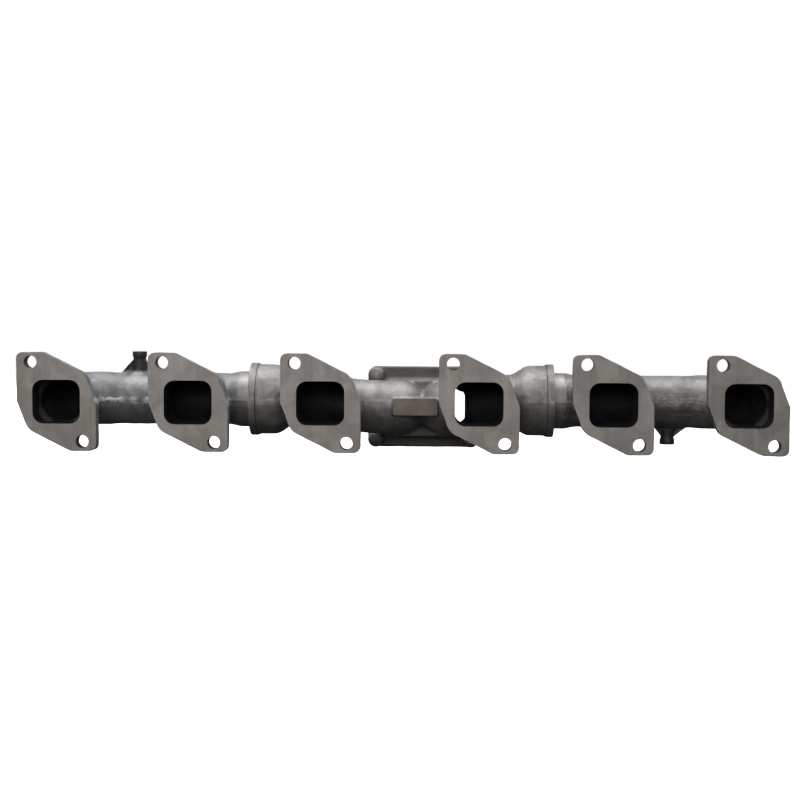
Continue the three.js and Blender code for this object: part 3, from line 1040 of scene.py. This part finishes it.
def spigot_waste(side):
    profile = [
        (SPIGOT_END, SPIGOT_RADIUS - SPIGOT_CHAMFER),
        (SPIGOT_END + SPIGOT_CHAMFER, SPIGOT_RADIUS),
    ]
    for start, end in GROOVES:
        profile += [(start, SPIGOT_RADIUS), (start, SPIGOT_RADIUS - GROOVE_DEPTH)]
        profile += [(end, SPIGOT_RADIUS - GROOVE_DEPTH), (end, SPIGOT_RADIUS)]
    profile += [(COLLAR_END + 20, SPIGOT_RADIUS)]
    spigot = turned("spigot", side, profile, 128)
    stations = (SPIGOT_END - 15, COLLAR_END, COLLAR_END + 7)
    waste = turned("waste", side, [(x, WASTE_RADIUS) for x in stations], 64)
    cut(waste, [spigot])
    return finish_with(waste, turned_face)


# %% [markdown]
# The boss gets a milled end and a blind hole for the bracket's bolt.

# %% Machining the boss
BOSS_MILLING = 12
BOSS_HOLE_RADIUS = 4.2
BOSS_HOLE_WAY = (-14, 3)


def boss_milling(side, up, top):
    x = side * BOSS_X
    low, high = sorted((up * top, up * (top + BOSS_MILLING)))
    block = box(
        "boss milling",
        (x - BOSS_MILLING, LOG_Y - BOSS_MILLING, low),
        (x + BOSS_MILLING, LOG_Y + BOSS_MILLING, high),
    )
    return finish_with(block, milled_face)


def boss_drill(side, up, top):
    start, end = ((side * BOSS_X, LOG_Y, up * (top + z)) for z in BOSS_HOLE_WAY)
    return finish_with(bar("boss drill", BOSS_HOLE_RADIUS, start, end, 32), drilled_face)


# %% [markdown]
# In the foundry the passages come first and the machining last. Here it is the other way round:
# faces, then holes, then passages, because a boolean is surest while the casting is still solid.

# %% An end section, finished
def end_section(name, side, ports, boss_height):
    up, top = -side, PIPE_RADIUS + boss_height
    casting = end_casting(name, side, ports, boss_height)
    millings = [milling_cut(port) for port in ports]
    cut(casting, [spigot_waste(side), boss_milling(side, up, top), *millings])
    drills = [drill for port in ports for drill in stud_drills(port)]
    cut(casting, [boss_drill(side, up, top), *drills])
    cut(casting, [end_core(side, ports)])
    casting.name = f"{name}_casting"
    shade(casting)
    return casting


SHADING_ANGLE = math.radians(32)


def shade(piece):
    only(piece)
    bpy.ops.object.shade_smooth_by_angle(angle=SHADING_ANGLE)
    print(piece.name, len(piece.data.polygons), "faces")


# %% [markdown]
# The two ends are alike but for the boss: the front one stands above its pipe and is taller.

# %% Make the two end sections
FRONT_BOSS_HEIGHT = 24.5
REAR_BOSS_HEIGHT = 19
front_ports = [port_x[1] / MM, port_x[0] / MM]
rear_ports = [port_x[4] / MM, port_x[5] / MM]
front_casting = end_section("front", -1, front_ports, FRONT_BOSS_HEIGHT)
rear_casting = end_section("rear", 1, rear_ports, REAR_BOSS_HEIGHT)

# %% [markdown]
# ## The centre section
#
# Two banks of three cylinders meet here without mixing. Each bank's branch comes along the log,
# drops a little, and turns back into its own half of the divided turbocharger flange. The two
# bends lie side by side, so a crease runs down between them, and a flat-faced rib bridges it.
#
# Each branch is drawn out along the log to the bend. A ball rounds the bend's outer corner, and
# a bar goes back from it into the neck.

# %% Branches and bells
TURBO_CENTRE = mounts["turbo_face"] / MM
OUTLET_SIZE = (44.5, 49.5)
OUTLET_CORNER = 12
DIVIDER = 9
BRANCH_RADIUS = 30.5
BRANCH_Z = -9
BRANCH_END_Y = 118
# From the port to the bend: shares of the port's X, the bend's X, the drop and the widening.
BRANCH_WAY = [(1.1, 0, 0, 0), (0.72, 0.28, 0.55, 0.5), (0.4, 0.6, 0.9, 1), (0, 1, 1, 1)]
BELL_ROOT = 124
BELL_LIP = 164
BELL_MOUTH = 172
BELL_RADIUS = 40
BELL_LIP_RADIUS = 41.5
BELL_CONE = [
    (94, PIPE_RADIUS),
    (122, PIPE_RADIUS),
    (128.5, 31.3),
    (137.5, 37.8),
    (143, BELL_RADIUS),
]


def centre_port(side):
    return port_x[2 if side < 0 else 3] / MM


def outlet_x(side):
    return TURBO_CENTRE.x + side * (DIVIDER + OUTLET_SIZE[0]) / 2


def branch(side, radius, start, grow=0.0):
    """A bank's tube from the bell to behind its outlet, as separate forms to be joined."""
    port, corner = centre_port(side), outlet_x(side)
    stations = [((side * start, LOG_Y, 0), radius)]
    for near_port, near_bend, drop, widening in BRANCH_WAY:
        x = port * near_port + corner * near_bend
        stations.append(((x, LOG_Y, BRANCH_Z * drop), radius + grow * widening))
    along = drawn("branch", stations)
    start, end = (corner, LOG_Y, BRANCH_Z), (corner, BRANCH_END_Y, BRANCH_Z)
    bend = ball("bend", radius + grow, start)
    out = bar("way out", radius + grow, start, end, 96)
    return along, [bend, out]


def bell(side):
    return turned("bell", side, [*BELL_CONE, (BELL_MOUTH + MILLING, BELL_RADIUS)])


def bell_lip(side):
    stations = (BELL_LIP, BELL_MOUTH + MILLING)
    return turned("bell lip", side, [(x, BELL_LIP_RADIUS) for x in stations])


# %% [markdown]
# The turbocharger flange is a plate with a round boss at each corner. The bosses reach forward
# of the plate, for the length of the bolts' threads, and end in low domes. The neck behind the
# bends widens to the plate.

# %% Turbocharger flange
TURBO_SIZE = (131, 95)
TURBO_PLATE_Y = 128
TURBO_BOLTS = (56, 38)
TURBO_BOSS_RADIUS = 9.5
TURBO_BOSS_REACH = 5
DOME_FLATNESS = 0.5
NECK_WALL = 8
NECK_START = 98
NECK_SHORT = 4


def turbo_corners():
    """The X and Z of the four bolts."""
    return [
        (TURBO_CENTRE.x + side_x * TURBO_BOLTS[0], TURBO_CENTRE.z + side_z * TURBO_BOLTS[1])
        for side_x in (-1, 1)
        for side_z in (-1, 1)
    ]


def turbo_flange():
    centre = (TURBO_CENTRE.x, TURBO_CENTRE.z)
    face_y = TURBO_CENTRE.y + MILLING
    plate = rounded_block("plate", centre, TURBO_SIZE, TURBO_BOSS_RADIUS, TURBO_PLATE_Y, face_y)
    neck_size = (2 * OUTLET_SIZE[0] + DIVIDER + 2 * NECK_WALL, OUTLET_SIZE[1] + 2 * NECK_WALL)
    neck_corner = OUTLET_CORNER + NECK_WALL
    neck = rounded_block("neck", centre, neck_size, neck_corner, NECK_START, face_y - NECK_SHORT)
    forms = [plate, neck]
    front_y = TURBO_PLATE_Y - TURBO_BOSS_REACH
    for x, z in turbo_corners():
        forms.append(bar("bolt boss", TURBO_BOSS_RADIUS, (x, front_y, z), (x, face_y, z), 48))
        dome = ball("dome", TURBO_BOSS_RADIUS, (0, 0, 0))
        dome.scale.y = DOME_FLATNESS
        dome.location = Vector((x, front_y, z)) * MM
        forms.append(settle(dome))
    return forms


# %% [markdown]
# The rib is a block with its long edges broken. Its face is ground flat later, with the flanges.

# %% Rib across the crease
RIB_LOW = (-9, 39.5, -15.5)
RIB_HIGH = (41, 75, 3.5)
RIB_FACE_Y = 41.5
RIB_EDGE = 1.5
RIB_MARGIN = Vector((10, 20, 4))


def rib():
    block = box("rib", RIB_LOW, RIB_HIGH)
    choose(block, "edges", lambda edge: runs_along_y(block, edge))
    bpy.ops.mesh.bevel(offset=RIB_EDGE * MM, segments=3, affect="EDGES")
    bpy.ops.object.mode_set(mode="OBJECT")
    return block


# %% [markdown]
# As for the ends, the big round forms get wide fillets first. The flanges, the rib and the bells'
# lips come after, with tight ones.

# %% Rough casting of the centre section
def centre_casting():
    widening = BRANCH_RADIUS - PIPE_RADIUS
    body, forms = branch(-1, PIPE_RADIUS, BELL_ROOT, widening)
    other, more = branch(1, PIPE_RADIUS, BELL_ROOT, widening)
    join(body, [*forms, other, *more])
    join(body, [runner(centre_port(-1), LOG_Y), runner(centre_port(1), LOG_Y)])
    join(body, [bell(-1), bell(1)])
    fillet(body, voxel=2.2, passes=9)
    join(body, turbo_flange())
    join(body, [rib(), flange_plate(centre_port(-1)), flange_plate(centre_port(1))])
    join(body, [bell_lip(-1), bell_lip(1)])
    fillet(body, voxel=1.35, passes=3)
    uneven(body, **SKIN_WAVES)
    parting_ridge(body, height=1.1, half_width=1.5)
    body.name = "centre_casting"
    return finish_with(body, centre_skin)


# %% [markdown]
# The two cores never meet: the divider between them keeps the banks' pulses apart right up to
# the turbine. Each takes in its port, its bell's far end and its outlet.

# %% Cores of the centre section
CORE_START = 147
OUTLET_WAY = (96, 152)


def centre_core(side):
    core, forms = branch(side, BORE_RADIUS, CORE_START)
    place = (outlet_x(side), TURBO_CENTRE.z)
    outlet = rounded_block("outlet", place, OUTLET_SIZE, OUTLET_CORNER, *OUTLET_WAY)
    join(core, [*forms, port_core(centre_port(side), LOG_Y), outlet])
    fillet(core, **CORE_FILLET)
    return finish_with(core, passage)


# %% [markdown]
# The bells are bored for the spigots, with a lead-in at the mouth, and faced off. A narrow
# groove at the root of each lip shows where the facing tool turned in.

# %% Boring and facing the bells
BELL_BORE_RADIUS = 32.25
BELL_BORE_END = 141
LEAD_IN = 1.2
FACING_RADIUS = 55
FACING_REACH = 12
LIP_GROOVE = (0.8, 0.5)


def bell_cuts(side):
    """The bore and the facing in one turned form, and the groove, a thin ring."""
    bore = [
        (BELL_BORE_END, BELL_BORE_RADIUS),
        (BELL_MOUTH - LEAD_IN, BELL_BORE_RADIUS),
        (BELL_MOUTH, BELL_BORE_RADIUS + LEAD_IN),
        (BELL_MOUTH, FACING_RADIUS),
        (BELL_MOUTH + FACING_REACH, FACING_RADIUS),
    ]
    cutter = turned("boring", side, bore, 128)
    width, depth = LIP_GROOVE
    start, end = BELL_LIP - width / 2, BELL_LIP + width / 2
    groove = turned("groove", side, [(x, WASTE_RADIUS) for x in (start, end)])
    inside = turned("inside", side, [(x, BELL_RADIUS - depth) for x in (start - 1, end + 1)])
    cut(groove, [inside])
    return [finish_with(cutter, turned_face), finish_with(groove, groove_skin)]


# %% [markdown]
# The turbocharger flange is milled at its back, and has a blind hole for a bolt in each corner.

# %% Machining the turbocharger flange
TAP_DRILL_RADIUS = 5.1
TAP_DEPTH = 20
TAP_START = 6
TURBO_MILLING_REACH = (90, 20, 70)


def turbo_drills():
    drills = []
    for x, z in turbo_corners():
        start = (x, TURBO_CENTRE.y - TAP_DEPTH, z)
        end = (x, TURBO_CENTRE.y + TAP_START, z)
        drills.append(finish_with(bar("tap drill", TAP_DRILL_RADIUS, start, end, 32), drilled_face))
    return drills


def turbo_milling():
    x, y, z = TURBO_CENTRE
    width, depth, height = TURBO_MILLING_REACH
    block = box("milling", (x - width, y, z - height), (x + width, y + depth, z + height))
    return finish_with(block, milled_face)


# %% [markdown]
# The cutters of one round are joined, so they may not overlap each other, or the boolean would
# not know inside from outside.

# %% The centre section, finished
def centre_section():
    casting = centre_casting()
    low, high = Vector(RIB_LOW) - RIB_MARGIN, Vector(RIB_HIGH) + RIB_MARGIN
    high.y = RIB_FACE_Y
    pad = box("rib grinding", low, high)
    cut(casting, [
        *bell_cuts(-1),
        *bell_cuts(1),
        milling_cut(centre_port(-1)),
        milling_cut(centre_port(1)),
        turbo_milling(),
        finish_with(pad, ground_pad),
    ])
    cut(casting, [
        *stud_drills(centre_port(-1)),
        *stud_drills(centre_port(1)),
        *turbo_drills(),
    ])
    cut(casting, [centre_core(-1), centre_core(1)])
    shade(casting)
    return casting


centre_casting_piece = centre_section()

# %% [markdown]
# ## Seal rings
#
# Each groove of a spigot holds two thin split rings, like piston rings. They spring out against
# the bell's bore. One ring is turned and slit, its edges are broken by a small bevel, and the
# others are copies, put in their grooves with the slits staggered.

# %% One ring
RING_RADIUS = 31.95
RING_INNER_RADIUS = 28.6
RING_THICKNESS = 3.0
RING_GAP = 2.0
RING_BEVEL = 0.25
RING_SIDES = 160


def seal_ring():
    """A ring round the X axis, in the middle of its thickness, slit towards -Z."""
    half = RING_THICKNESS / 2
    ring = bar("ring", RING_RADIUS, (-half, 0, 0), (half, 0, 0), RING_SIDES)
    hole = bar("hole", RING_INNER_RADIUS, (-5, 0, 0), (5, 0, 0), RING_SIDES)
    slit = box("slit", (-5, -RING_GAP / 2, -40), (5, RING_GAP / 2, -20))
    cut(ring, [hole])
    cut(ring, [slit])
    modify(
        ring,
        "BEVEL",
        width=RING_BEVEL * MM,
        segments=2,
        limit_method="ANGLE",
        angle_limit=math.radians(40),
    )
    shade(ring)
    return finish_with(ring, ring_iron)


# %% [markdown]
# The frame's own ring solids give each ring's place, so a copy is put in the middle of each and
# stands for it.

# %% Rings in their grooves
def place_rings(pattern, end, side):
    """Copies the ring to the four places that the frame gives at one end."""
    for number in range(4):
        node = f"{end}_seal_ring_{number + 1}"
        low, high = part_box(node)
        ring = pattern.copy()
        ring.data = pattern.data.copy()
        ring.name = f"{end}_split_ring_{number + 1}"
        bpy.context.scene.collection.objects.link(ring)
        turn = math.pi * (number % 2 + (number // 2) / 2 + 0.25)
        ring.rotation_euler.x = turn if side < 0 else math.pi - turn
        ring.location = (low + high) / 2
        settle(ring)
        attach(ring, f"{end}_rings")
        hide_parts(node)


ring_pattern = seal_ring()
place_rings(ring_pattern, "front", -1)
place_rings(ring_pattern, "rear", 1)
bpy.data.objects.remove(ring_pattern)

# %% [markdown]
# ## What moves with what
#
# Each casting rides on its own body, so the end sections turn and slide in the bells, and the
# rings slide with them but don't turn.

# %% Ride
for piece, body, node, slot in (
    (centre_casting_piece, "centre", "centre_section", "centre_cast_iron"),
    (front_casting, "front", "front_section", "end_cast_iron"),
    (rear_casting, "rear", "rear_section", "end_cast_iron"),
):
    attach(piece, body)
    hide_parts(node)

# %% [markdown]
# ## Studio
#
# The floor and the background are nearly white, and the light is soft and comes mostly from
# above, so that the pipes are pale on top and dark underneath.

# %% Floor
FLOOR_SIZE = 12
FLOOR_DROP = 0.2

bpy.ops.object.select_all(action="DESELECT")
bpy.ops.mesh.primitive_plane_add(size=FLOOR_SIZE, location=(0, 0, cad_low.z - FLOOR_DROP))
floor = bpy.context.object
floor.name = "floor"
settle(floor)
floor_material, _, floor_shader = new_material("pale floor", roughness=0.9)
floor_shader.inputs["Base Color"].default_value = (0.9, 0.9, 0.9, 1)
floor_shader.inputs["Emission Color"].default_value = (1, 1, 1, 1)
floor_shader.inputs["Emission Strength"].default_value = 1.0
finish_with(floor, floor_material)
floor.visible_diffuse = False
floor.visible_glossy = False


# %% [markdown]
# Two wide soft boxes: the one above gives the pipes their pale tops, and the one far in front
# lights the port faces evenly.

# %% Lights
LIT_POINT = Vector((0, 0.06, 0))


def softbox(name, place, size, power):
    light_data = bpy.data.lights.new(name, "AREA")
    light_data.shape = "RECTANGLE"
    light_data.size, light_data.size_y = size
    light_data.energy = power
    light = bpy.data.objects.new(name, light_data)
    bpy.context.scene.collection.objects.link(light)
    light.location = place
    light.rotation_euler = (LIT_POINT - light.location).to_track_quat("-Z", "Y").to_euler()


softbox("top light", place=(0, 0.1, 1.5), size=(2.6, 0.9), power=58)
softbox("front light", place=(-0.4, -2.4, 0.9), size=(2.4, 1.4), power=38)

# %% [markdown]
# The world glows faintly from above, for the sheen on the iron. The camera itself sees it plain
# white, so that the background has no horizon.

# %% World
world = bpy.data.worlds.new("studio")
bpy.context.scene.world = world
world.use_nodes = True
world_tree = world.node_tree
background = world_tree.nodes["Background"]
up = add(world_tree, "ShaderNodeSeparateXYZ", {
    "Vector": world_tree.nodes.new("ShaderNodeTexCoord").outputs["Generated"],
}).outputs["Z"]
glow = scaled(world_tree, ramp(world_tree, up, -0.4, 0.9), 0.6, 0.05)
seen = world_tree.nodes.new("ShaderNodeLightPath").outputs["Is Camera Ray"]
strength = math_node(world_tree, "MAXIMUM", glow, seen)
world_tree.links.new(strength, background.inputs["Strength"])
background.inputs["Color"].default_value = (1, 1, 1, 1)

# %% [markdown]
# ## Update
#
# The view layer is brought up to date.

# %% Update
bpy.context.view_layer.update()
